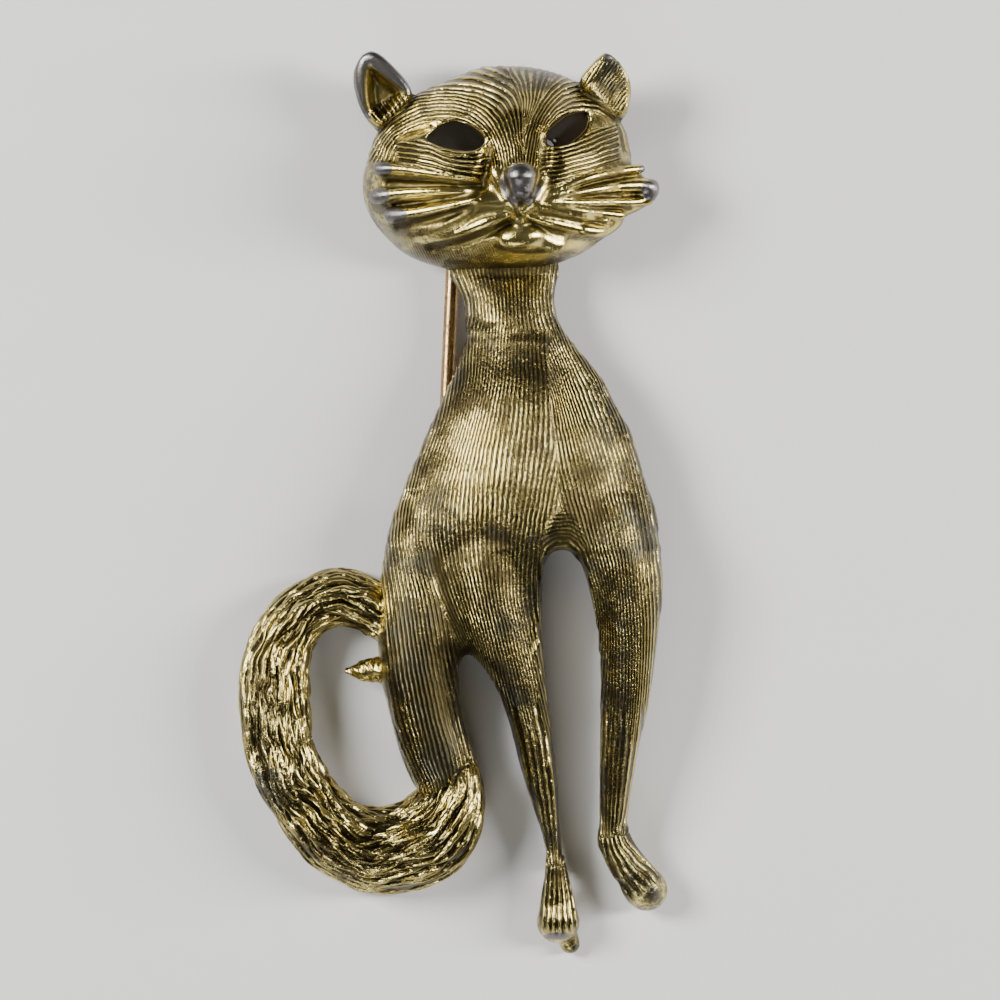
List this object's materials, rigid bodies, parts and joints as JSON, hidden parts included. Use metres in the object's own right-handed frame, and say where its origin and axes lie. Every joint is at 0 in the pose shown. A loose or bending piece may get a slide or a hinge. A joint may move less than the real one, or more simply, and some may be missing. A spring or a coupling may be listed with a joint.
{
  "type": "cat brooch",
  "caption": "Figural brooch of a seated cat with a curled tail, hollow gilt casting with ribbed fur, pierced eyes and a hinged pin behind.",
  "frame": {"origin": "middle of the brooch's box, on the surface that it lies on, back down", "axes": "+Z out of the cat's face, +Y towards the top of its head, +X to the viewer's right"},
  "size_m": [0.032, 0.0665, 0.0115],
  "materials": {
    "gilt_casting": "worn yellow gilding over grey cast metal, engraved with fine ribs, tarnished in the hollows",
    "findings": "dull pressed sheet brass, lightly tarnished",
    "pin_wire": "drawn wire, polished by use"
  },
  "bodies": {
    "brooch": {"casting": "gilt_casting", "pin_joint": "findings", "hinge_rivet": "findings", "catch": "findings"},
    "pin": {"pin_stem": "pin_wire"}
  },
  "joints": [
    {"name": "pin_hinge", "type": "hinge", "parent": "brooch", "child": "pin", "pos_m": [0.0002, 0.02252, 0.00095], "axis": [0.999, -0.0454, 0], "range_deg": [0, 75]}
  ]
}
